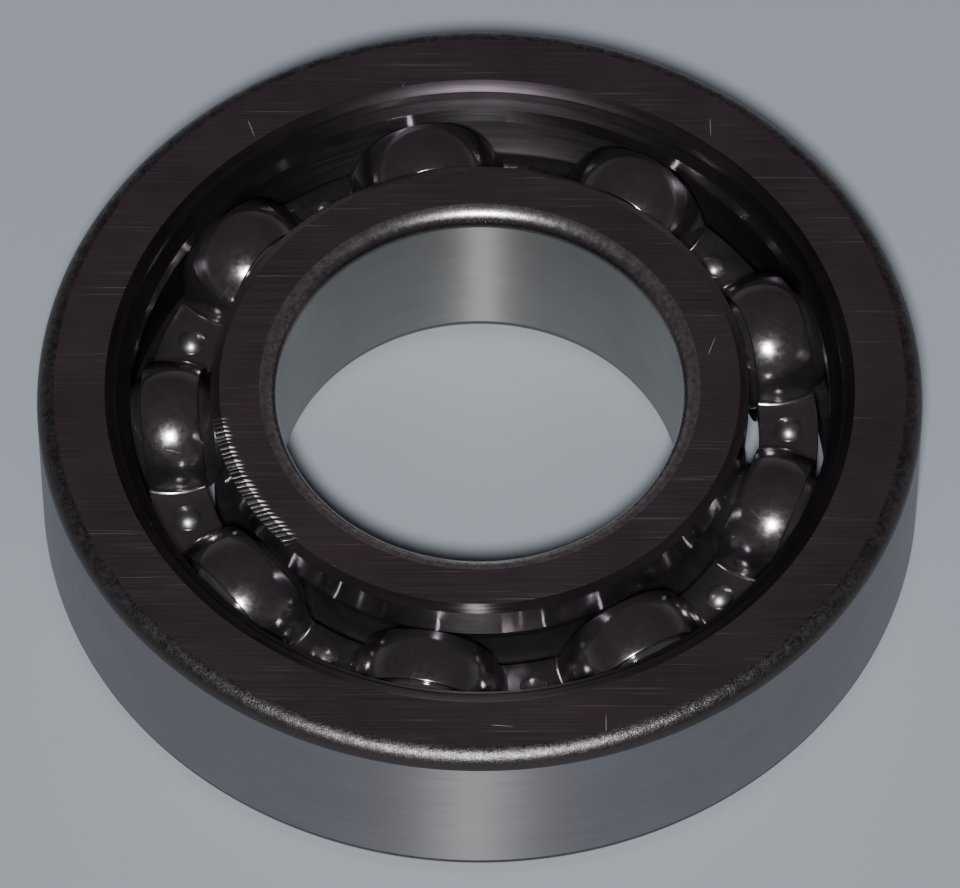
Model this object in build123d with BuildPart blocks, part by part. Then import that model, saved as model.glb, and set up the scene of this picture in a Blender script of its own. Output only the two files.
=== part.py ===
from build123d import *
from math import cos, pi, sin, sqrt
import os

# Single-row ball bearing with a riveted ribbon cage, in millimetres.
# The origin is the centre of the bearing, and +Z runs along its axis.

os.makedirs("parts", exist_ok=True)

# Boundary sizes (inch light series: 1 3/8 x 3 x 11/16 in)
bore_diameter = 34.925
outside_diameter = 76.2
ring_width = 17.4625
bore_corner_radius = 1.5
outside_corner_radius = 1.5

# Ball row
ball_diameter = 11.1125
ball_count = 9
inner_groove_wall = 3.7          # steel between the bore and the bottom of the inner groove
row_offset = 0.8                 # height of the ball row above the middle of the rings
groove_conformity = 0.52         # groove radius as a share of the ball diameter
ball_to_groove_gap = 0.03        # at the bottom of each groove

# Shoulders beside the grooves
inner_shoulder_height = 1.99
outer_shoulder_height = 2.15
shoulder_edge_radius = 0.15
inner_chamfer_across = 0.75
inner_chamfer_down = 0.4
inner_chamfer_edge_radius = 0.12
recess_step = 1.05               # how much wider the recess is than the outer shoulder, on radius
recess_depth = 1.6
lip_across = 1.0                 # rolled lip between the outer ring's face and its recess
lip_down = 0.4
lip_bulge_radius = 1.6

# Ribbon cage
strip_thickness = 0.9
strip_width = 5.1
ball_to_pocket_gap = 0.12
bend_radius = 0.6
pocket_mouth_radius = 0.25

# Rivets
rivet_shank_diameter = 1.3
rivet_head_diameter = 2.4
rivet_head_height = 0.75
rivet_rim_height = 0.12
rivet_hole_gap = 0.02

# Worked out from the sizes above
half_width = ring_width / 2
bore_radius = bore_diameter / 2
outside_radius = outside_diameter / 2
ball_radius = ball_diameter / 2
ball_step = 360 / ball_count
first_ball_angle = ball_step / 2
groove_radius = groove_conformity * ball_diameter
groove_centre_shift = groove_radius - ball_radius - ball_to_groove_gap
inner_groove_bottom = bore_radius + inner_groove_wall
pitch_radius = inner_groove_bottom + ball_to_groove_gap + ball_radius
outer_groove_bottom = pitch_radius + ball_radius + ball_to_groove_gap
inner_shoulder_radius = inner_groove_bottom + inner_shoulder_height
outer_shoulder_radius = outer_groove_bottom - outer_shoulder_height
recess_radius = outer_shoulder_radius + recess_step
pocket_radius = ball_radius + ball_to_pocket_gap
dome_radius = pocket_radius + strip_thickness
strip_inner_radius = pitch_radius - strip_width / 2
strip_outer_radius = pitch_radius + strip_width / 2


def cut_groove(section, centre_radius, shoulder_radius):
    """Cut the ball groove from a ring's section and ease its two edges."""
    with Locations((centre_radius, row_offset)):
        Circle(groove_radius, mode=Mode.SUBTRACT)
    near_row = section.vertices().filter_by_position(
        Axis.Y, row_offset - groove_radius, row_offset + groove_radius
    )
    edges = near_row.filter_by_position(
        Axis.X, shoulder_radius - shoulder_edge_radius, shoulder_radius + shoulder_edge_radius
    )
    fillet(edges, shoulder_edge_radius)


def outer_half_outline(side):
    """Points of the outer ring's inside edge on one face: shoulder, recess floor, recess wall."""
    face = side * half_width
    return [
        (outer_shoulder_radius, face - side * recess_depth),
        (recess_radius, face - side * recess_depth),
        (recess_radius, face - side * lip_down),
        (recess_radius + lip_across, face),
    ]


# Outer ring: recess and rolled lip on both faces, groove on the ball row
with BuildPart() as outer_ring:
    with BuildSketch(Plane.XZ) as outer_section:
        with BuildLine():
            top = outer_half_outline(1)
            bottom = outer_half_outline(-1)
            Polyline(*reversed(bottom[:3]), *top[:3])
            RadiusArc(top[2], top[3], lip_bulge_radius)
            Polyline(top[3], (outside_radius, half_width), (outside_radius, -half_width), bottom[3])
            RadiusArc(bottom[3], bottom[2], lip_bulge_radius)
        make_face()
        fillet(outer_section.vertices().group_by(Axis.X)[-1], outside_corner_radius)
        cut_groove(outer_section, pitch_radius - groove_centre_shift, outer_shoulder_radius)
    revolve(axis=Axis.Z)
outer_ring.part.label = "outer_ring"
export_step(outer_ring.part, "parts/outer_ring.step")

# Inner ring: rounded bore corners, chamfered shoulders, groove on the ball row
with BuildPart() as inner_ring:
    with BuildSketch(Plane.XZ) as inner_section:
        with BuildLine():
            Polyline(
                (bore_radius, -half_width),
                (inner_shoulder_radius - inner_chamfer_across, -half_width),
                (inner_shoulder_radius, -half_width + inner_chamfer_down),
                (inner_shoulder_radius, half_width - inner_chamfer_down),
                (inner_shoulder_radius - inner_chamfer_across, half_width),
                (bore_radius, half_width),
                close=True,
            )
        make_face()
        chamfer_corners = inner_section.vertices().sort_by(Axis.X)[2:]
        fillet(chamfer_corners, inner_chamfer_edge_radius)
        fillet(inner_section.vertices().group_by(Axis.X)[0], bore_corner_radius)
        cut_groove(inner_section, pitch_radius + groove_centre_shift, inner_shoulder_radius)
    revolve(axis=Axis.Z)
inner_ring.part.label = "inner_ring"
export_step(inner_ring.part, "parts/inner_ring.step")


def rolled_point(ball_side_radius, edge_height, roll_radius):
    """Centre of a roll that touches both a sphere about the origin and a flat below the roll."""
    height = edge_height + roll_radius
    return (sqrt((ball_side_radius + roll_radius) ** 2 - height**2), height)


def dome_section(sphere_radius, flat_height, roll_radius, foot):
    """Half section of a dome that flares through a roll into a flat, down to the foot."""
    roll = rolled_point(sphere_radius, flat_height, roll_radius)
    touch_share = sphere_radius / (sphere_radius + roll_radius)
    touch = (roll[0] * touch_share, roll[1] * touch_share)
    with BuildSketch(Plane.XZ) as section:
        with BuildLine():
            Line((0, foot), (0, sphere_radius))
            RadiusArc((0, sphere_radius), touch, sphere_radius)
            RadiusArc(touch, (roll[0], flat_height), -roll_radius)
            Polyline((roll[0], flat_height), (roll[0], foot), (0, foot))
        make_face()
    return section.sketch


# Outside of one dome with its bend, and the pocket inside it, both standing on the row's plane
with BuildPart() as dome:
    revolve(dome_section(dome_radius, strip_thickness, bend_radius, 0), axis=Axis.Z)
with BuildPart() as pocket:
    revolve(dome_section(pocket_radius, 0, pocket_mouth_radius, -strip_thickness), axis=Axis.Z)

# Cage halves: a flat strip with a dome over each ball, and the same below it
with BuildPart() as cage_upper:
    with BuildSketch(Plane.XY.offset(row_offset)) as strip:
        Circle(strip_outer_radius)
        Circle(strip_inner_radius, mode=Mode.SUBTRACT)
    extrude(amount=strip_thickness)
    with Locations((0, 0, row_offset)):
        with PolarLocations(pitch_radius, ball_count, start_angle=first_ball_angle):
            add(dome.part)
    extrude(strip.sketch, amount=2 * dome_radius, mode=Mode.INTERSECT)
    with Locations((0, 0, row_offset)):
        with PolarLocations(pitch_radius, ball_count, start_angle=first_ball_angle):
            add(pocket.part, mode=Mode.SUBTRACT)
        with PolarLocations(pitch_radius, ball_count):
            Hole(rivet_shank_diameter / 2 + rivet_hole_gap)
with BuildPart() as cage_lower:
    mirror(cage_upper.part, about=Plane.XY.offset(row_offset))


def on_pitch_circle(angle):
    """Point on the pitch circle, at the height of the ball row."""
    turn = angle * pi / 180
    return (pitch_radius * cos(turn), pitch_radius * sin(turn), row_offset)


def make_ball(angle):
    with BuildPart() as ball:
        with Locations(on_pitch_circle(angle)):
            Sphere(ball_radius)
    return ball.part


def make_rivet(angle):
    """A set rivet: a shank through both pads and a domed head on each side."""
    seat = on_pitch_circle(angle)
    grip = strip_thickness
    rim = grip + rivet_rim_height
    crown = grip + rivet_head_height
    head_radius = rivet_head_diameter / 2
    shank_radius = rivet_shank_diameter / 2
    dome_height = rivet_head_height - rivet_rim_height
    head_dome_radius = (head_radius**2 + dome_height**2) / (2 * dome_height)
    with BuildPart() as rivet:
        with BuildSketch(Plane(origin=seat, x_dir=(1, 0, 0), z_dir=(0, -1, 0))):
            with BuildLine():
                Polyline((head_radius, rim), (head_radius, grip), (shank_radius, grip), (shank_radius, 0))
                RadiusArc((0, crown), (head_radius, rim), head_dome_radius)
                mirror(about=Plane.XZ)
                Line((0, crown), (0, -crown))
            make_face()
        revolve(axis=Axis(seat, (0, 0, 1)))
    return rivet.part


pieces = {"cage_upper": cage_upper.part, "cage_lower": cage_lower.part}
for number in range(1, ball_count + 1):
    pieces[f"ball_{number}"] = make_ball(first_ball_angle + (number - 1) * ball_step)
    pieces[f"rivet_{number}"] = make_rivet((number - 1) * ball_step)
for name, piece in pieces.items():
    piece.label = name
    export_step(piece, f"parts/{name}.step")
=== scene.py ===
"""Looks of a single-row ball bearing with a riveted ribbon cage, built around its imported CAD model."""
from math import acos, atan2, cos, hypot, pi, radians, sin, sqrt, tau

import bpy
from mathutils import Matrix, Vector


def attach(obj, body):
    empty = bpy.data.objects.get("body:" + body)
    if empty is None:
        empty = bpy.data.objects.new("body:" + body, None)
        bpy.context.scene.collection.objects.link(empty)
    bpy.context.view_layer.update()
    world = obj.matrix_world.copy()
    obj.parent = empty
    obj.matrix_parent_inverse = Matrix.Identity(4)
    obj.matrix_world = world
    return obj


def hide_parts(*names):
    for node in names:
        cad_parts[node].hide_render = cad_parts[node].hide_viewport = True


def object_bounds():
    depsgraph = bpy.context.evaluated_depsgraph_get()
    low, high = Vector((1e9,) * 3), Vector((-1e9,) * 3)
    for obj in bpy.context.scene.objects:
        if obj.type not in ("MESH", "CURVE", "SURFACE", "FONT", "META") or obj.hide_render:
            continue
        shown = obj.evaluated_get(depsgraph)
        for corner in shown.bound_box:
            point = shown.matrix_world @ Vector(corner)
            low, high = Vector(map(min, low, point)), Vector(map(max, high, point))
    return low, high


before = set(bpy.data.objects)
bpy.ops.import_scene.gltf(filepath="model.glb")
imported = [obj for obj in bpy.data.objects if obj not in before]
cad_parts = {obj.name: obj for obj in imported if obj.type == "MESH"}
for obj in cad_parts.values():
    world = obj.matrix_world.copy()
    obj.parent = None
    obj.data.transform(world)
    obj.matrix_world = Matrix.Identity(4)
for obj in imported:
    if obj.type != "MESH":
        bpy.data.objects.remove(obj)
cad_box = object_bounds()

# Sizes in millimetres, as in the part's source
MM = 0.001
MERGE = 0.5e-6  # metres within which two points become one
HALF_WIDTH = 8.73125
BORE_RADIUS = 17.4625
OUTSIDE_RADIUS = 38.1
CORNER_RADIUS = 1.5
BALL_RADIUS = 5.55625
BALL_COUNT = 9
BALL_STEP = tau / BALL_COUNT
ROW_HEIGHT = 0.8
GROOVE_GAP = 0.03
INNER_GROOVE_WALL = 3.7
INNER_GROOVE_BOTTOM = BORE_RADIUS + INNER_GROOVE_WALL
PITCH_RADIUS = INNER_GROOVE_BOTTOM + GROOVE_GAP + BALL_RADIUS
GROOVE_CONFORMITY = 0.52
GROOVE_RADIUS = GROOVE_CONFORMITY * 2 * BALL_RADIUS
GROOVE_SHIFT = GROOVE_RADIUS - BALL_RADIUS - GROOVE_GAP
INNER_SHOULDER_HEIGHT = 1.99
OUTER_SHOULDER_HEIGHT = 2.15
INNER_SHOULDER = INNER_GROOVE_BOTTOM + INNER_SHOULDER_HEIGHT
OUTER_SHOULDER = PITCH_RADIUS + BALL_RADIUS + GROOVE_GAP - OUTER_SHOULDER_HEIGHT
SHOULDER_EASE = 0.15
RECESS_STEP = 1.05
RECESS_RADIUS = OUTER_SHOULDER + RECESS_STEP
RECESS_DEPTH = 1.6
LIP_ACROSS = 1.0
LIP_DOWN = 0.4
LIP_BULGE = 1.6
CHAMFER_ACROSS = 0.75
CHAMFER_DOWN = 0.4
STRIP_THICKNESS = 0.9
STRIP_HALF_WIDTH = 2.55
POCKET_GAP = 0.12
DOME_RADIUS = BALL_RADIUS + POCKET_GAP + STRIP_THICKNESS
BEND_RADIUS = 0.6
RIVET_HEAD = 1.2
RIVET_CROWN = 0.75
RIVET_RIM = 0.12
RIVET_SHANK = 0.65


# ---------------------------------------------------------------- mesh tools

def deselect():
    bpy.ops.object.select_all(action="DESELECT")


def pick(piece):
    """Select this piece alone."""
    deselect()
    bpy.context.view_layer.objects.active = piece
    piece.select_set(True)


def start_edit(piece):
    pick(piece)
    bpy.ops.object.mode_set(mode="EDIT")


def end_edit():
    bpy.ops.object.mode_set(mode="OBJECT")


def named(name):
    piece = bpy.context.object
    piece.name = name
    piece.data.name = name
    return piece


def trace(name, outline):
    """A wire through the outline's (radius, height) points, standing on the XZ plane, left in edit mode."""
    deselect()
    bpy.ops.mesh.primitive_plane_add(size=MM)
    piece = named(name)
    bpy.ops.object.mode_set(mode="EDIT")
    bpy.ops.mesh.merge(type="COLLAPSE")
    here = Vector((0, 0, 0))
    for step, (radius, height) in enumerate(outline):
        there = Vector((radius * MM, 0, height * MM))
        if step:
            bpy.ops.mesh.extrude_region_move(TRANSFORM_OT_translate={"value": there - here})
        else:
            bpy.ops.transform.translate(value=there)
        here = there
    return piece


def spin_round(steps):
    """Turn the traced wire once about the axis and close it."""
    bpy.ops.mesh.select_all(action="SELECT")
    bpy.ops.mesh.remove_doubles(threshold=MERGE)
    bpy.ops.mesh.spin(steps=steps, angle=tau, center=(0, 0, 0), axis=(0, 0, 1))
    bpy.ops.mesh.select_all(action="SELECT")
    bpy.ops.mesh.remove_doubles(threshold=MERGE)
    bpy.ops.mesh.normals_make_consistent(inside=False)
    end_edit()


def smooth(piece, angle):
    """Shade smooth, with an edge wherever two faces meet at more than this angle in degrees."""
    pick(piece)
    bpy.ops.object.shade_smooth_by_angle(angle=radians(angle))


def duplicate(piece, name):
    pick(piece)
    bpy.ops.object.duplicate(linked=False)
    return named(name)


def put(piece, x, y, z, turn):
    """Turn a piece about the axis it was made on, set it in place, and apply both to its mesh."""
    piece.rotation_euler = (0, 0, turn)
    piece.location = (x * MM, y * MM, z * MM)
    pick(piece)
    bpy.ops.object.transform_apply(location=True, rotation=True, scale=True)


def on_pitch(angle):
    return PITCH_RADIUS * cos(angle), PITCH_RADIUS * sin(angle), ROW_HEIGHT


# ------------------------------------------------------------ ring outlines

EASE = 0.03  # from each end of a flat to the point that keeps its shading flat
CORNER_STEPS = 12
LIP_STEPS = 8
GROOVE_STEPS = 30
EDGE_STEPS = 4


def straight(outline, end):
    """Run straight to the end, with a point close to each end so that the flat shades flat."""
    r0, z0 = outline[-1]
    r1, z1 = end
    length = hypot(r1 - r0, z1 - z0)
    if length > 4 * EASE:
        share = EASE / length
        for t in (share, 1 - share):
            outline.append((r0 + (r1 - r0) * t, z0 + (z1 - z0) * t))
    outline.append(end)


def corner(outline, centre, start):
    """Go a quarter turn round a corner, from an angle in degrees measured from the radius towards height."""
    for k in range(1, CORNER_STEPS + 1):
        a = radians(start + 90 * k / CORNER_STEPS)
        outline.append((centre[0] + CORNER_RADIUS * cos(a), centre[1] + CORNER_RADIUS * sin(a)))


def groove(outline, centre_radius, shoulder, steel_side, rising):
    """Go through the ball groove and its two eased edges.

    steel_side is 1 where the steel lies outside the groove and -1 where it lies inside.
    rising is 1 where the outline runs upwards and -1 where it runs down.
    """
    ease_radius = shoulder + steel_side * SHOULDER_EASE
    across = ease_radius - centre_radius
    rise = sqrt((GROOVE_RADIUS + SHOULDER_EASE) ** 2 - across**2)
    tilt = atan2(rise, abs(across))
    face = 0 if steel_side > 0 else pi
    for end in (-rising, rising):
        middle = (ease_radius, ROW_HEIGHT + end * rise)
        turns = [k / EDGE_STEPS for k in range(EDGE_STEPS + 1)]
        if end == rising:
            turns.reverse()
        for t in turns:
            lean = tilt * t * end
            radius = middle[0] - steel_side * SHOULDER_EASE * cos(lean)
            outline.append((radius, middle[1] - SHOULDER_EASE * sin(lean)))
        if end == -rising:
            for k in range(1, GROOVE_STEPS):
                a = tilt * (2 * k / GROOVE_STEPS - 1) * rising
                radius = centre_radius + GROOVE_RADIUS * cos(face + steel_side * a)
                outline.append((radius, ROW_HEIGHT + GROOVE_RADIUS * sin(a)))


def lip_arc(face):
    """Points of the rolled lip, from the face down to the recess wall."""
    top = Vector((RECESS_RADIUS + LIP_ACROSS, face * HALF_WIDTH))
    foot = Vector((RECESS_RADIUS, face * (HALF_WIDTH - LIP_DOWN)))
    chord = foot - top
    sag = sqrt(LIP_BULGE**2 - (chord.length / 2) ** 2)
    into_steel = Vector((LIP_DOWN, -face * LIP_ACROSS)).normalized()
    centre = (top + foot) / 2 + into_steel * sag
    points = []
    for k in range(LIP_STEPS + 1):
        point = top + chord * (k / LIP_STEPS) - centre
        points.append(tuple(centre + point.normalized() * LIP_BULGE))
    return points


def outer_ring_outline():
    corner_in = OUTSIDE_RADIUS - CORNER_RADIUS
    outline = [(OUTSIDE_RADIUS, -HALF_WIDTH + CORNER_RADIUS)]
    straight(outline, (OUTSIDE_RADIUS, HALF_WIDTH - CORNER_RADIUS))
    corner(outline, (corner_in, HALF_WIDTH - CORNER_RADIUS), 0)
    lip = lip_arc(1)
    straight(outline, lip[0])
    outline += lip[1:]
    straight(outline, (RECESS_RADIUS, HALF_WIDTH - RECESS_DEPTH))
    straight(outline, (OUTER_SHOULDER, HALF_WIDTH - RECESS_DEPTH))
    outline.append((OUTER_SHOULDER, HALF_WIDTH - RECESS_DEPTH - EASE))
    groove(outline, PITCH_RADIUS - GROOVE_SHIFT, OUTER_SHOULDER, 1, -1)
    outline.append((OUTER_SHOULDER, -HALF_WIDTH + RECESS_DEPTH + EASE))
    outline.append((OUTER_SHOULDER, -HALF_WIDTH + RECESS_DEPTH))
    straight(outline, (RECESS_RADIUS, -HALF_WIDTH + RECESS_DEPTH))
    lip = lip_arc(-1)
    straight(outline, lip[-1])
    outline += lip[-2::-1]
    straight(outline, (corner_in, -HALF_WIDTH))
    corner(outline, (corner_in, -HALF_WIDTH + CORNER_RADIUS), -90)
    return outline


def inner_ring_outline():
    top = HALF_WIDTH
    chamfer_in = INNER_SHOULDER - CHAMFER_ACROSS
    corner_out = BORE_RADIUS + CORNER_RADIUS
    outline = [(BORE_RADIUS, -top + CORNER_RADIUS)]
    corner(outline, (corner_out, -top + CORNER_RADIUS), 180)
    straight(outline, (chamfer_in, -top))
    straight(outline, (INNER_SHOULDER, -top + CHAMFER_DOWN))
    outline.append((INNER_SHOULDER, -top + CHAMFER_DOWN + EASE))
    groove(outline, PITCH_RADIUS + GROOVE_SHIFT, INNER_SHOULDER, -1, 1)
    outline.append((INNER_SHOULDER, top - CHAMFER_DOWN - EASE))
    outline.append((INNER_SHOULDER, top - CHAMFER_DOWN))
    straight(outline, (chamfer_in, top))
    straight(outline, (corner_out, top))
    corner(outline, (corner_out, top - CORNER_RADIUS), 90)
    straight(outline, (BORE_RADIUS, -top + CORNER_RADIUS))
    return outline


def finish_faces(piece, finishes, choose):
    """Give a ring its finishes, and each face the one that choose picks for its place and normal."""
    for finish in finishes:
        piece.data.materials.append(finish)
    for face in piece.data.polygons:
        centre = face.center
        radius = hypot(centre.x, centre.y)
        outward = (face.normal.x * centre.x + face.normal.y * centre.y) / radius
        face.material_index = choose(radius / MM, centre.z / MM, outward, face.normal.z)


# -------------------------------------------------------------- node tools

class Group:
    """A shader node group being wired up: its tree, its inputs with their defaults, and its outputs."""

    def __init__(self, name, inputs, outputs):
        self.tree = bpy.data.node_groups.new(name, "ShaderNodeTree")
        for socket, (kind, value) in inputs.items():
            made = self.tree.interface.new_socket(socket, in_out="INPUT", socket_type=kind)
            if value is not None:
                made.default_value = value
        for socket, kind in outputs.items():
            self.tree.interface.new_socket(socket, in_out="OUTPUT", socket_type=kind)
        self.inputs = self.tree.nodes.new("NodeGroupInput").outputs
        self.outputs = self.tree.nodes.new("NodeGroupOutput").inputs


def link(tree, source, target):
    """Join a socket to another, or set the target's own value if the source is a number, colour or vector."""
    if isinstance(source, bpy.types.NodeSocket):
        tree.links.new(source, target)
    else:
        target.default_value = source


def math(tree, operation, *values, clamp=False):
    node = tree.nodes.new("ShaderNodeMath")
    node.operation = operation
    node.use_clamp = clamp
    for socket, value in zip(node.inputs, values):
        link(tree, value, socket)
    return node.outputs[0]


def vector_math(tree, operation, *values):
    node = tree.nodes.new("ShaderNodeVectorMath")
    node.operation = operation
    for socket, value in zip(node.inputs, values):
        link(tree, value, socket)
    return node.outputs[0]


def noise(tree, vector, scale, detail, roughness):
    node = tree.nodes.new("ShaderNodeTexNoise")
    link(tree, vector, node.inputs["Vector"])
    link(tree, scale, node.inputs["Scale"])
    node.inputs["Detail"].default_value = detail
    node.inputs["Roughness"].default_value = roughness
    return node.outputs["Fac"]


def remap(tree, value, low, high, out_low=0.0, out_high=1.0, kind="LINEAR"):
    node = tree.nodes.new("ShaderNodeMapRange")
    node.interpolation_type = kind
    for socket, v in zip(node.inputs, (value, low, high, out_low, out_high)):
        link(tree, v, socket)
    return node.outputs["Result"]


def combine(tree, x, y, z):
    node = tree.nodes.new("ShaderNodeCombineXYZ")
    for socket, value in zip(node.inputs, (x, y, z)):
        link(tree, value, socket)
    return node.outputs[0]


def separate(tree, vector):
    node = tree.nodes.new("ShaderNodeSeparateXYZ")
    link(tree, vector, node.inputs[0])
    return node.outputs


def axis_distance(tree, x, y):
    """Distance from the bearing's axis."""
    node = tree.nodes.new("ShaderNodeVectorMath")
    node.operation = "LENGTH"
    link(tree, combine(tree, x, y, 0.0), node.inputs[0])
    return node.outputs["Value"]


def mix_colour(tree, factor, first, second):
    node = tree.nodes.new("ShaderNodeMix")
    node.data_type = "RGBA"
    link(tree, factor, node.inputs["Factor"])
    link(tree, first, node.inputs["A"])
    link(tree, second, node.inputs["B"])
    return node.outputs["Result"]


def place(tree, group, **values):
    """Put a node group in a material with its own values; returns its outputs."""
    node = tree.nodes.new("ShaderNodeGroup")
    node.node_tree = group.tree
    for name, value in values.items():
        link(tree, value, node.inputs[name])
    return node.outputs


# Ground lines: fine straight lines along X from a surface grinder, with a few deep ones
def ground_lines_group():
    g = Group(
        "ground_lines",
        {
            "Vector": ("NodeSocketVector", None),
            "Lines": ("NodeSocketFloat", 9000.0),
            "Breaks": ("NodeSocketFloat", 90.0),
        },
        {"Fine": "NodeSocketFloat", "Deep": "NodeSocketFloat"},
    )
    t = g.tree
    x, y, _ = separate(t, g.inputs["Vector"])
    along = math(t, "MULTIPLY", x, g.inputs["Breaks"])
    across = math(t, "MULTIPLY", y, g.inputs["Lines"])
    fine = noise(t, combine(t, along, across, 0.0), 1.0, 3.0, 0.6)
    coarse_along = math(t, "MULTIPLY", x, 80.0)
    coarse_across = math(t, "MULTIPLY", y, 5200.0)
    coarse = noise(t, combine(t, coarse_along, coarse_across, 3.7), 1.0, 2.0, 0.55)
    t.links.new(fine, g.outputs["Fine"])
    t.links.new(remap(t, coarse, 0.64, 0.78), g.outputs["Deep"])
    return g


# Turned lines: fine rings about the bearing's axis, broken up slowly on the way round
def turned_lines_group():
    g = Group(
        "turned_lines",
        {
            "Vector": ("NodeSocketVector", None),
            "Lines": ("NodeSocketFloat", 9000.0),
            "Breaks": ("NodeSocketFloat", 3.0),
        },
        {"Fine": "NodeSocketFloat", "Bands": "NodeSocketFloat"},
    )
    t = g.tree
    x, y, z = separate(t, g.inputs["Vector"])
    radius = axis_distance(t, x, y)
    down = math(t, "ADD", radius, z)
    ux = math(t, "MULTIPLY", math(t, "DIVIDE", x, radius), g.inputs["Breaks"])
    uy = math(t, "MULTIPLY", math(t, "DIVIDE", y, radius), g.inputs["Breaks"])
    fine_down = math(t, "MULTIPLY", down, g.inputs["Lines"])
    band_down = math(t, "MULTIPLY", down, 1400.0)
    fine = noise(t, combine(t, fine_down, ux, uy), 1.0, 3.0, 0.6)
    bands = noise(t, combine(t, band_down, ux, uy), 1.0, 2.0, 0.5)
    t.links.new(fine, g.outputs["Fine"])
    t.links.new(bands, g.outputs["Bands"])
    return g


# Handling marks: short thin scratches in every direction, few and far between
def handling_marks_group():
    g = Group(
        "handling_marks",
        {
            "Vector": ("NodeSocketVector", None),
            "Cells": ("NodeSocketFloat", 260.0),
            "Share": ("NodeSocketFloat", 0.3),
        },
        {"Mask": "NodeSocketFloat"},
    )
    t = g.tree
    cells = t.nodes.new("ShaderNodeTexVoronoi")
    cells.feature = "F1"
    t.links.new(g.inputs["Vector"], cells.inputs["Vector"])
    t.links.new(g.inputs["Cells"], cells.inputs["Scale"])
    cells.inputs["Randomness"].default_value = 1.0
    own = separate(t, cells.outputs["Color"])
    away = vector_math(t, "SUBTRACT", g.inputs["Vector"], cells.outputs["Position"])
    turn = math(t, "MULTIPLY", own[0], tau)
    ax, ay, _ = separate(t, away)
    side_x = math(t, "MULTIPLY", ax, math(t, "SINE", turn))
    side_y = math(t, "MULTIPLY", ay, math(t, "COSINE", turn))
    side = math(t, "ABSOLUTE", math(t, "SUBTRACT", side_x, side_y))
    line = remap(t, side, 0.000035, 0.00001)
    reach_x = math(t, "MULTIPLY", ax, math(t, "COSINE", turn))
    reach_y = math(t, "MULTIPLY", ay, math(t, "SINE", turn))
    reach = math(t, "ABSOLUTE", math(t, "ADD", reach_x, reach_y))
    short = remap(t, reach, 0.0012, 0.0006)
    chosen = math(t, "LESS_THAN", own[1], g.inputs["Share"])
    mask = math(t, "MULTIPLY", math(t, "MULTIPLY", line, short), chosen)
    t.links.new(mask, g.outputs["Mask"])
    return g


# Mottle: blotches and specks of a rolled, tumbled or oily surface
def mottle_group():
    g = Group(
        "mottle",
        {"Vector": ("NodeSocketVector", None), "Scale": ("NodeSocketFloat", 900.0)},
        {"Blotches": "NodeSocketFloat", "Specks": "NodeSocketFloat"},
    )
    t = g.tree
    blotches = noise(t, g.inputs["Vector"], g.inputs["Scale"], 4.0, 0.6)
    fast = math(t, "MULTIPLY", g.inputs["Scale"], 4.0)
    specks = noise(t, g.inputs["Vector"], fast, 3.0, 0.65)
    t.links.new(blotches, g.outputs["Blotches"])
    t.links.new(specks, g.outputs["Specks"])
    return g


# Edge burrs with painted glints: bright where the grinding lines run out over the inner ring's edge, on one
# side of each face
BURR_GLINT_SIDE = radians(207)  # the middle of the painted glints, round the axis from X
BURR_GLINT_SPREAD = radians(20)  # from the middle to where the last ones fade out
BURR_PITCH = 0.42  # millimetres between rows
BURR_START = INNER_SHOULDER - 1.7  # they begin at this radius, and are full strength at the next
BURR_FULL = INNER_SHOULDER - 0.55
BURR_END = INNER_SHOULDER + 0.1


def burr_glints_group():
    g = Group("edge_burrs_and_glints", {"Vector": ("NodeSocketVector", None)}, {"Mask": "NodeSocketFloat"})
    t = g.tree
    x, y, _ = separate(t, g.inputs["Vector"])
    radius = axis_distance(t, x, y)
    side_x = math(t, "MULTIPLY", x, cos(BURR_GLINT_SIDE))
    side_y = math(t, "MULTIPLY", y, sin(BURR_GLINT_SIDE))
    facing = math(t, "DIVIDE", math(t, "ADD", side_x, side_y), radius)
    side = remap(t, facing, cos(BURR_GLINT_SPREAD), cos(0.7 * BURR_GLINT_SPREAD), kind="SMOOTHSTEP")
    edge = remap(t, radius, BURR_START * MM, BURR_FULL * MM, kind="SMOOTHSTEP")
    inside = math(t, "LESS_THAN", radius, BURR_END * MM)
    along = math(t, "MULTIPLY", x, 120.0)
    wander = noise(t, combine(t, along, math(t, "MULTIPLY", y, 1300.0), 1.3), 1.0, 2.0, 0.6)
    rows = math(t, "MULTIPLY", y, tau / (BURR_PITCH * MM))
    wave = math(t, "SINE", math(t, "ADD", rows, math(t, "MULTIPLY", wander, 9.0)))
    level = math(t, "MULTIPLY", math(t, "ADD", wave, 1.0), math(t, "ADD", wander, 0.1))
    fade = math(t, "ADD", 0.5, math(t, "MULTIPLY", edge, 0.5))
    teeth = remap(t, math(t, "MULTIPLY", level, fade), 0.55, 0.95)
    mask = math(t, "MULTIPLY", math(t, "MULTIPLY", side, math(t, "MULTIPLY", edge, inside)), teeth)
    t.links.new(mask, g.outputs["Mask"])
    return g


GROUND = ground_lines_group()
# edge burrs that also carry a painted glint on one side of each face
BURR_GLINTS = burr_glints_group()
TURNED = turned_lines_group()
MARKS = handling_marks_group()
MOTTLE = mottle_group()


def steel(name, anisotropy=0.0, tangent_axis=None, turned=0.0):
    """A bare steel, with its highlight drawn out round the tangent axis, or turned from there.

    Returns the material, its tree, its shader and its object coordinates.
    """
    material = bpy.data.materials.new(name)
    material.use_nodes = True
    tree = material.node_tree
    shader = tree.nodes["Principled BSDF"]
    shader.inputs["Metallic"].default_value = 0.965
    shader.inputs["Anisotropic"].default_value = anisotropy
    shader.inputs["Anisotropic Rotation"].default_value = turned
    if tangent_axis:
        tangent = tree.nodes.new("ShaderNodeTangent")
        tangent.direction_type = "RADIAL"
        tangent.axis = tangent_axis
        tree.links.new(tangent.outputs[0], shader.inputs["Tangent"])
    coordinates = tree.nodes.new("ShaderNodeTexCoord").outputs["Object"]
    return material, tree, shader, coordinates


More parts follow.
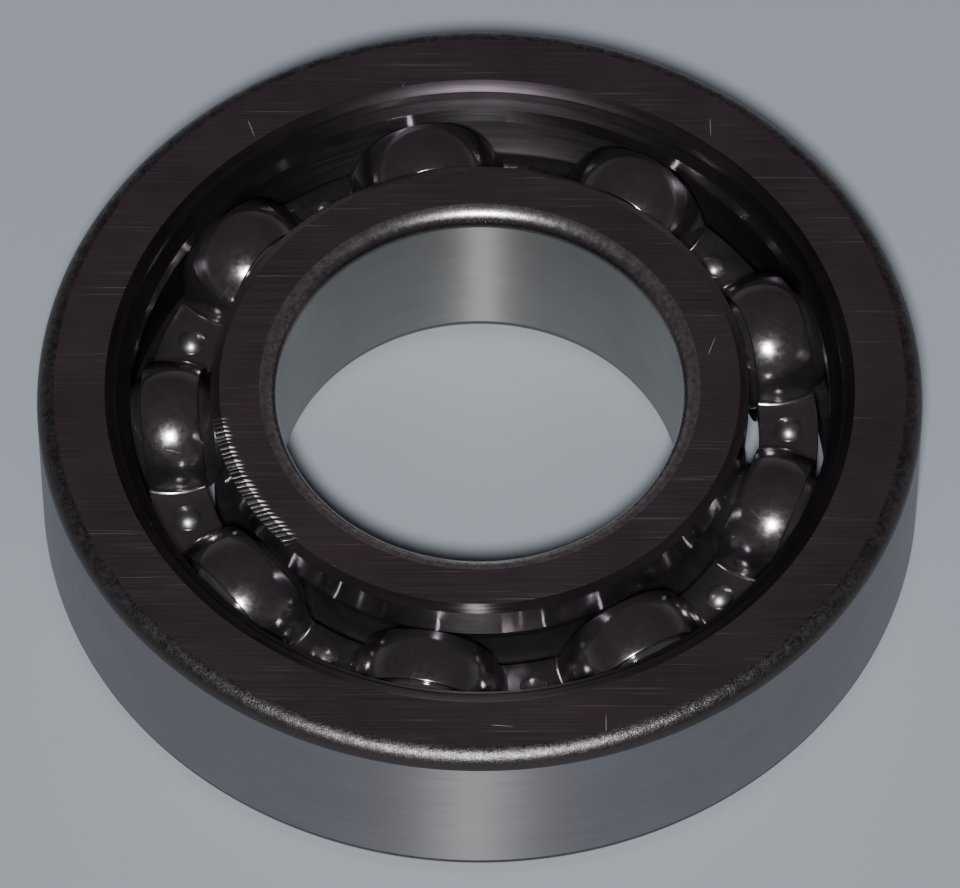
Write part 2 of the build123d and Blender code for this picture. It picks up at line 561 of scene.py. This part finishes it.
def bump(tree, shader, height, strength, distance):
    node = tree.nodes.new("ShaderNodeBump")
    node.inputs["Strength"].default_value = strength
    node.inputs["Distance"].default_value = distance
    link(tree, height, node.inputs["Height"])
    link(tree, node.outputs[0], shader.inputs["Normal"])


def ground_face():
    """Flat ring faces: dark, nearly mirror bright, with straight lines and a few handling marks."""
    material, t, shader, where = steel("ground_face", 0.9, "X")
    lines = place(t, GROUND, Vector=where)
    marks = place(t, MARKS, Vector=where, Share=0.07)["Mask"]
    stains = place(t, MOTTLE, Vector=where, Scale=110.0)["Blotches"]
    base = mix_colour(t, remap(t, stains, 0.35, 0.65), (0.29, 0.225, 0.26, 1), (0.36, 0.285, 0.325, 1))
    burr_glints = place(t, BURR_GLINTS, Vector=where)["Mask"]
    marked = mix_colour(t, math(t, "MULTIPLY", marks, 0.5), base, (0.7, 0.66, 0.68, 1))
    # the burrs are painted near white on one side only: a painted glint where the light catches them
    link(t, mix_colour(t, burr_glints, marked, (0.8, 0.8, 0.78, 1)), shader.inputs["Base Color"])
    rough = remap(t, lines["Fine"], 0.3, 0.7, 0.1, 0.17)
    rough = math(t, "ADD", rough, math(t, "MULTIPLY", lines["Deep"], 0.12))
    rough = math(t, "ADD", rough, math(t, "MULTIPLY", burr_glints, 0.45))
    rough = math(t, "ADD", rough, math(t, "MULTIPLY", marks, 0.2), clamp=True)
    link(t, rough, shader.inputs["Roughness"])
    height = math(t, "ADD", math(t, "MULTIPLY", lines["Fine"], 0.6), math(t, "MULTIPLY", lines["Deep"], 0.3))
    bump(t, shader, math(t, "ADD", height, math(t, "MULTIPLY", marks, 0.5)), 0.3, 0.00001)
    return material


def ground_round(name, light, dark, low, high, anisotropy):
    """Outside, bore, recess and shoulder lands: satin, with fine lines round the axis."""
    material, t, shader, where = steel(name, anisotropy, "Z", 0.25)
    lines = place(t, TURNED, Vector=where)
    stains = place(t, MOTTLE, Vector=where, Scale=160.0)["Blotches"]
    shade = math(t, "ADD", math(t, "MULTIPLY", lines["Bands"], 0.5), math(t, "MULTIPLY", stains, 0.5))
    link(t, mix_colour(t, remap(t, shade, 0.35, 0.65), dark, light), shader.inputs["Base Color"])
    link(t, remap(t, lines["Fine"], 0.3, 0.7, low, high), shader.inputs["Roughness"])
    bump(t, shader, lines["Fine"], 0.25, 0.000008)
    return material


def chamfer_finish():
    """Chamfer of the inner ring: turned, with the burrs of the face's grinding lines over it, painted bright
    as glints on one side.
    """
    material, t, shader, where = steel("turned_chamfer", 0.9, "Z", 0.25)
    lines = place(t, TURNED, Vector=where)
    burr_glints = place(t, BURR_GLINTS, Vector=where)["Mask"]
    bands = remap(t, lines["Bands"], 0.35, 0.65)
    tone = mix_colour(t, bands, (0.16, 0.14, 0.155, 1), (0.26, 0.23, 0.25, 1))
    # the burrs are painted near white on one side only: a painted glint where the light catches them
    link(t, mix_colour(t, burr_glints, tone, (0.85, 0.85, 0.82, 1)), shader.inputs["Base Color"])
    rough = remap(t, lines["Fine"], 0.3, 0.7, 0.05, 0.1)
    link(t, math(t, "ADD", rough, math(t, "MULTIPLY", burr_glints, 0.25)), shader.inputs["Roughness"])
    bump(t, shader, math(t, "ADD", math(t, "MULTIPLY", lines["Fine"], 0.1), burr_glints), 0.9, 0.00005)
    return material


def rough_corner(name, light, dark, painted_shade, low, high, grain):
    """Rounded corners as turned and tumbled: mottled and speckled, with painted shade darkening them away
    from the face so that the highlight sits near its edge.
    """
    material, t, shader, where = steel(name, 0.3, "Z", 0.25)
    spots = place(t, MOTTLE, Vector=where, Scale=2200.0)
    lines = place(t, TURNED, Vector=where, Lines=6000.0, Breaks=30.0)
    shade = math(t, "MULTIPLY", spots["Blotches"], 0.6)
    shade = math(t, "ADD", shade, math(t, "MULTIPLY", lines["Bands"], 0.4))
    level = math(t, "ABSOLUTE", separate(t, where)[2])
    ragged = math(t, "ADD", level, math(t, "MULTIPLY", spots["Blotches"], 0.4 * MM))
    # painted shade: the colour darkens away from the face, so that the highlight sits near the face's edge
    unshaded = remap(t, ragged, (HALF_WIDTH - 0.5) * MM, (HALF_WIDTH + 0.1) * MM, kind="SMOOTHSTEP")
    metal = mix_colour(t, remap(t, shade, 0.4, 0.6), dark, light)
    link(t, mix_colour(t, unshaded, painted_shade, metal), shader.inputs["Base Color"])
    link(t, remap(t, spots["Specks"], 0.35, 0.65, low, high), shader.inputs["Roughness"])
    height = math(t, "ADD", spots["Specks"], math(t, "MULTIPLY", spots["Blotches"], 1.5))
    bump(t, shader, height, grain, 0.00004)
    return material


def polished(name, light, dark, low, high, peel):
    """Balls, grooves, rivets and the pressed cage: bright, with a faint orange peel and hairlines."""
    material, t, shader, where = steel(name)
    spots = place(t, MOTTLE, Vector=where, Scale=420.0)
    marks = place(t, MARKS, Vector=where, Cells=420.0, Share=0.1)["Mask"]
    tone = mix_colour(t, remap(t, spots["Blotches"], 0.35, 0.65), dark, light)
    marked = mix_colour(t, math(t, "MULTIPLY", marks, 0.25), tone, (0.6, 0.6, 0.6, 1))
    link(t, marked, shader.inputs["Base Color"])
    rough = remap(t, spots["Specks"], 0.3, 0.7, low, high)
    link(t, math(t, "ADD", rough, math(t, "MULTIPLY", marks, 0.1), clamp=True), shader.inputs["Roughness"])
    height = math(t, "ADD", spots["Blotches"], math(t, "MULTIPLY", spots["Specks"], 0.15))
    bump(t, shader, height, peel, 0.00008)
    return material


FACE = ground_face()
CHAMFER = chamfer_finish()

# Ground and turned walls: light and dark steel, the range of roughness, and the anisotropy
OUTSIDE = ground_round("ground_outside", (0.33, 0.315, 0.325, 1), (0.295, 0.28, 0.29, 1), 0.285, 0.33, 1.0)
BORE = ground_round("ground_bore", (0.37, 0.36, 0.345, 1), (0.33, 0.32, 0.305, 1), 0.29, 0.34, 1.0)
RECESS = ground_round("turned_recess", (0.12, 0.1, 0.115, 1), (0.065, 0.053, 0.062, 1), 0.4, 0.52, 0.8)
LAND = ground_round("turned_land", (0.34, 0.31, 0.33, 1), (0.24, 0.22, 0.24, 1), 0.18, 0.26, 1.0)

# Corners: light and dark steel, the painted shade away from the face, the range of roughness, and the
# strength of the grain
# painted shade for the corners, darker away from the face
CORNER_PAINTED_SHADE = (0.1, 0.085, 0.085, 1)
BORE_CORNER_PAINTED_SHADE = (0.15, 0.13, 0.135, 1)
CORNER_STEEL = (0.24, 0.225, 0.23, 1), (0.12, 0.107, 0.112, 1)
BORE_CORNER_STEEL = (0.7, 0.68, 0.66, 1), (0.45, 0.42, 0.42, 1)
CORNER = rough_corner("outside_corner", *CORNER_STEEL, CORNER_PAINTED_SHADE, 0.22, 0.48, 0.55)
BORE_CORNER = rough_corner("bore_corner", *BORE_CORNER_STEEL, BORE_CORNER_PAINTED_SHADE, 0.22, 0.32, 0.1)

# Polished pieces: light and dark steel, the range of roughness, and the strength of the orange peel
GROOVE = polished("honed_groove", (0.5, 0.48, 0.48, 1), (0.44, 0.42, 0.42, 1), 0.08, 0.16, 0.04)
BALL = polished("ball_steel", (0.6, 0.59, 0.6, 1), (0.55, 0.54, 0.55, 1), 0.05, 0.09, 0.02)
CAGE = polished("pressed_cage", (0.4, 0.37, 0.4, 1), (0.33, 0.3, 0.33, 1), 0.13, 0.2, 0.14)
RIVET = polished("set_rivet", (0.46, 0.43, 0.45, 1), (0.36, 0.33, 0.35, 1), 0.3, 0.4, 0.3)

# The finishes of a ring, in the order of its material slots
FINISHES = [FACE, OUTSIDE, BORE, LAND, CORNER, GROOVE, BORE_CORNER, RECESS, CHAMFER]


# ------------------------------------------------------------------- rings

SQUARE = 0.999  # cosine over which a face counts as square to a direction
NEAR = 0.01  # millimetres within which a face counts as on a step


def outer_finish(radius, height, outward, up):
    if abs(up) > SQUARE:
        return FINISHES.index(FACE if abs(height) > HALF_WIDTH - NEAR else RECESS)
    if radius > OUTSIDE_RADIUS - CORNER_RADIUS:
        return FINISHES.index(OUTSIDE if outward > SQUARE else CORNER)
    if radius > RECESS_RADIUS - NEAR:
        return FINISHES.index(RECESS)
    return FINISHES.index(LAND if radius < OUTER_SHOULDER + 2 * NEAR else GROOVE)


def inner_finish(radius, height, outward, up):
    if abs(up) > SQUARE:
        return FINISHES.index(FACE)
    if radius < BORE_RADIUS + CORNER_RADIUS:
        return FINISHES.index(BORE if outward < -SQUARE else BORE_CORNER)
    if abs(height) > HALF_WIDTH - CHAMFER_DOWN - NEAR:
        return FINISHES.index(CHAMFER)
    return FINISHES.index(LAND if radius > INNER_SHOULDER - 2 * NEAR else GROOVE)


def make_ring(name, outline, choose, steps):
    ring = trace(name, outline + outline[:1])
    spin_round(steps)
    smooth(ring, 40)
    finish_faces(ring, FINISHES, choose)
    return ring


outer_race = make_ring("outer_race", outer_ring_outline(), outer_finish, 320)
inner_race = make_ring("inner_race", inner_ring_outline(), inner_finish, 256)


# -------------------------------------------------------------------- cage

# A dome meets the flat strip in a roll. Its centre is at this height above the row, and this far
# from the ball's upright axis. The dome ends where it touches the roll, at TOUCH from the same axis.
ROLL_HEIGHT = STRIP_THICKNESS + BEND_RADIUS
ROLL_REACH = sqrt((DOME_RADIUS + BEND_RADIUS) ** 2 - ROLL_HEIGHT**2)
TOUCH = ROLL_REACH * DOME_RADIUS / (DOME_RADIUS + BEND_RADIUS)
CROWN = 3.4  # how far from that axis the dome's crest is divided evenly


def strip_height(reach):
    """Height of the strip's outer side above the row, at a distance from a ball's upright axis."""
    if reach < TOUCH:
        return sqrt(DOME_RADIUS**2 - reach**2)
    if reach < ROLL_REACH:
        return ROLL_HEIGHT - sqrt(BEND_RADIUS**2 - (ROLL_REACH - reach) ** 2)
    return STRIP_THICKNESS


def turn_for(reach, radius):
    """Angle from a ball's centre line at which a circle about the axis is that far from the ball's axis."""
    return acos((radius**2 + PITCH_RADIUS**2 - reach**2) / (2 * radius * PITCH_RADIUS))


def strip_reaches():
    """Rows of the strip from a dome's crest to the middle of a pad, as (kind, value).

    A crown's value is its share of the way out to CROWN, a reach's is in millimetres from the ball's axis,
    and a pad's is its share of the way to the middle of the pad.
    """
    rows = [("crown", k / 10) for k in range(10)]
    rows += [("reach", CROWN + (TOUCH - CROWN) * sin(pi / 2 * k / 9)) for k in range(9)]
    for k in range(9):
        lean = atan2(ROLL_REACH, ROLL_HEIGHT) * (1 - k / 8)
        rows.append(("reach", ROLL_REACH - BEND_RADIUS * sin(lean)))
    rows += [("pad", share) for share in (0.03, 0.2, 0.4, 0.6, 0.8, 1.0)]
    return rows


def strip_turn(row, radius):
    kind, value = row
    if kind == "crown":
        return turn_for(CROWN, radius) * value
    if kind == "reach":
        return turn_for(value, radius)
    start = turn_for(ROLL_REACH, radius)
    return start + (BALL_STEP / 2 - start) * value


def make_strip(name):
    """The upper half of the ribbon cage, with its domes pressed up over the balls."""
    rows = strip_reaches()
    last = len(rows) - 1
    around = 2 * last * BALL_COUNT
    columns = [-1, -0.93, -0.8, -0.6, -0.4, -0.2, 0, 0.2, 0.4, 0.6, 0.8, 0.93, 1]
    across = len(columns) - 1
    deselect()
    bpy.ops.mesh.primitive_grid_add(x_subdivisions=around, y_subdivisions=across, size=1)
    strip = named(name)
    for vertex in strip.data.vertices:
        station = round((vertex.co.x + 0.5) * around)
        radius = PITCH_RADIUS + STRIP_HALF_WIDTH * columns[round((vertex.co.y + 0.5) * across)]
        ball, step = divmod(station, 2 * last)
        side, row = (1, step) if step <= last else (-1, 2 * last - step)
        away = strip_turn(rows[row], radius)
        turn = ball * BALL_STEP + (away if side > 0 else BALL_STEP - away)
        reach = sqrt(max(0, radius**2 + PITCH_RADIUS**2 - 2 * radius * PITCH_RADIUS * cos(away)))
        angle = turn + BALL_STEP / 2
        height = ROW_HEIGHT + strip_height(reach)
        vertex.co = (radius * cos(angle) * MM, radius * sin(angle) * MM, height * MM)
    start_edit(strip)
    bpy.ops.mesh.select_all(action="SELECT")
    bpy.ops.mesh.remove_doubles(threshold=MERGE)
    bpy.ops.mesh.normals_make_consistent(inside=False)
    end_edit()
    if sum(face.normal.z for face in strip.data.polygons) < 0:
        start_edit(strip)
        bpy.ops.mesh.select_all(action="SELECT")
        bpy.ops.mesh.flip_normals()
        end_edit()
    return strip


def thicken(strip):
    """Give the strip its thickness, inwards from its outer side, and ease its cut edges."""
    wall = strip.modifiers.new("wall", "SOLIDIFY")
    wall.thickness = STRIP_THICKNESS * MM
    wall.offset = -1
    wall.use_even_offset = True
    edges = strip.modifiers.new("eased_edges", "BEVEL")
    edges.width = 0.09 * MM
    edges.segments = 3
    edges.limit_method = "ANGLE"
    edges.angle_limit = radians(55)
    pick(strip)
    for modifier in ("wall", "eased_edges"):
        bpy.ops.object.modifier_apply(modifier=modifier)


upper_strip = make_strip("cage_upper_strip")
thicken(upper_strip)
smooth(upper_strip, 50)
upper_strip.data.materials.append(CAGE)
lower_strip = duplicate(upper_strip, "cage_lower_strip")
start_edit(lower_strip)
bpy.ops.mesh.select_all(action="SELECT")
bpy.ops.transform.resize(value=(1, 1, -1), center_override=(0, 0, ROW_HEIGHT * MM))
bpy.ops.mesh.flip_normals()
end_edit()


# ------------------------------------------------------------------ rivets

def rivet_outline():
    """Half section of a set rivet about its own axis, from the upper crown round to the lower one."""
    rise = RIVET_CROWN - RIVET_RIM
    ball = (RIVET_HEAD**2 + rise**2) / (2 * rise)
    centre = STRIP_THICKNESS + RIVET_CROWN - ball
    lean = acos((ball - rise) / ball)
    steps = [lean * k / CORNER_STEPS for k in range(CORNER_STEPS + 1)]
    upper = [(ball * sin(step), centre + ball * cos(step)) for step in steps]
    upper.append((RIVET_HEAD + 0.02, STRIP_THICKNESS + RIVET_RIM * 0.6))
    upper.append((RIVET_HEAD, STRIP_THICKNESS + 0.01))
    upper.append((RIVET_HEAD - 0.03, STRIP_THICKNESS))
    upper.append((RIVET_SHANK, STRIP_THICKNESS))
    return upper + [(radius, -height) for radius, height in reversed(upper)]


set_rivet = trace("set_rivet_1", rivet_outline())
spin_round(48)
smooth(set_rivet, 50)
set_rivet.data.materials.append(RIVET)
rivets = [set_rivet]
for number in range(2, BALL_COUNT + 1):
    rivets.append(duplicate(set_rivet, f"set_rivet_{number}"))
RIVET_TURN = 2.3  # radians from one rivet to the next, so that their facets differ
for k, rivet in enumerate(rivets):
    put(rivet, *on_pitch(k * BALL_STEP), turn=k * RIVET_TURN)


# ------------------------------------------------------------------- balls

def make_ball(name):
    """A ball rounded up from a cube, so that it has no poles."""
    deselect()
    bpy.ops.mesh.primitive_cube_add(size=BALL_RADIUS * MM)
    ball = named(name)
    bpy.ops.object.mode_set(mode="EDIT")
    bpy.ops.mesh.select_all(action="SELECT")
    bpy.ops.mesh.subdivide(number_cuts=23)
    end_edit()
    for vertex in ball.data.vertices:
        vertex.co = vertex.co.normalized() * BALL_RADIUS * MM
    smooth(ball, 60)
    ball.data.materials.append(BALL)
    return ball


balls = [make_ball("steel_ball_1")]
for number in range(2, BALL_COUNT + 1):
    balls.append(duplicate(balls[0], f"steel_ball_{number}"))
BALL_TURN = 1.7  # radians from one ball to the next, so that their facets differ
for k, ball in enumerate(balls):
    put(ball, *on_pitch((k + 0.5) * BALL_STEP), turn=k * BALL_TURN)


# ------------------------------------------------- bodies, nodes and slots

def stand_for(piece, body, node):
    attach(piece, body)
    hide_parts(node)


stand_for(outer_race, "outer_ring", "outer_ring")
stand_for(inner_race, "inner_ring", "inner_ring")
stand_for(upper_strip, "cage", "cage_upper")
stand_for(lower_strip, "cage", "cage_lower")
for number in range(1, BALL_COUNT + 1):
    stand_for(rivets[number - 1], "cage", f"rivet_{number}")
    stand_for(balls[number - 1], f"ball_{number}", f"ball_{number}")
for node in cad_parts.values():
    node.data.materials.clear()
    node.data.materials.append(OUTSIDE)


# ------------------------------------------------ floor, light and camera

def make_floor():
    """A plain pale floor under the bearing."""
    deselect()
    bpy.ops.mesh.primitive_plane_add(size=6, location=(0, 0, cad_box[0].z))
    floor = named("floor")
    material = bpy.data.materials.new("pale_floor")
    material.use_nodes = True
    shader = material.node_tree.nodes["Principled BSDF"]
    shader.inputs["Base Color"].default_value = (0.42, 0.468, 0.53, 1)
    shader.inputs["Roughness"].default_value = 0.9
    floor.data.materials.append(material)


def make_light():
    """A soft disk of light from behind the camera, and a dark room that is paler near the floor."""
    data = bpy.data.lights.new("key", "AREA")
    data.shape = "DISK"
    data.size = 0.1
    data.energy = 13.5
    key = bpy.data.objects.new("key", data)
    bpy.context.scene.collection.objects.link(key)
    key.location = (-0.02, -0.705, 0.971)
    key.rotation_euler = Vector(key.location).to_track_quat("Z", "Y").to_euler()
    world = bpy.data.worlds.new("room")
    bpy.context.scene.world = world
    world.use_nodes = True
    tree = world.node_tree
    up = separate(tree, tree.nodes.new("ShaderNodeTexCoord").outputs["Generated"])[2]
    ramp = tree.nodes.new("ShaderNodeValToRGB")
    stops = ramp.color_ramp.elements
    stops[0].position = 0.0
    stops[0].color = (0.16, 0.155, 0.16, 1)
    stops[1].position = 0.45
    stops[1].color = (0.043, 0.035, 0.041, 1)
    tree.links.new(up, ramp.inputs[0])
    tree.links.new(ramp.outputs[0], tree.nodes["Background"].inputs["Color"])


def make_camera():
    data = bpy.data.cameras.new("camera")
    data.lens = 352.36
    data.sensor_width = 36
    data.clip_end = 20
    camera = bpy.data.objects.new("camera", data)
    bpy.context.scene.collection.objects.link(camera)
    elevation = radians(56.391)
    distance = 0.8146
    camera.location = (0, -distance * cos(elevation), distance * sin(elevation))
    camera.rotation_euler = (radians(33.5866), radians(0.0209), radians(-0.034))
    bpy.context.scene.camera = camera


make_floor()
make_light()
make_camera()
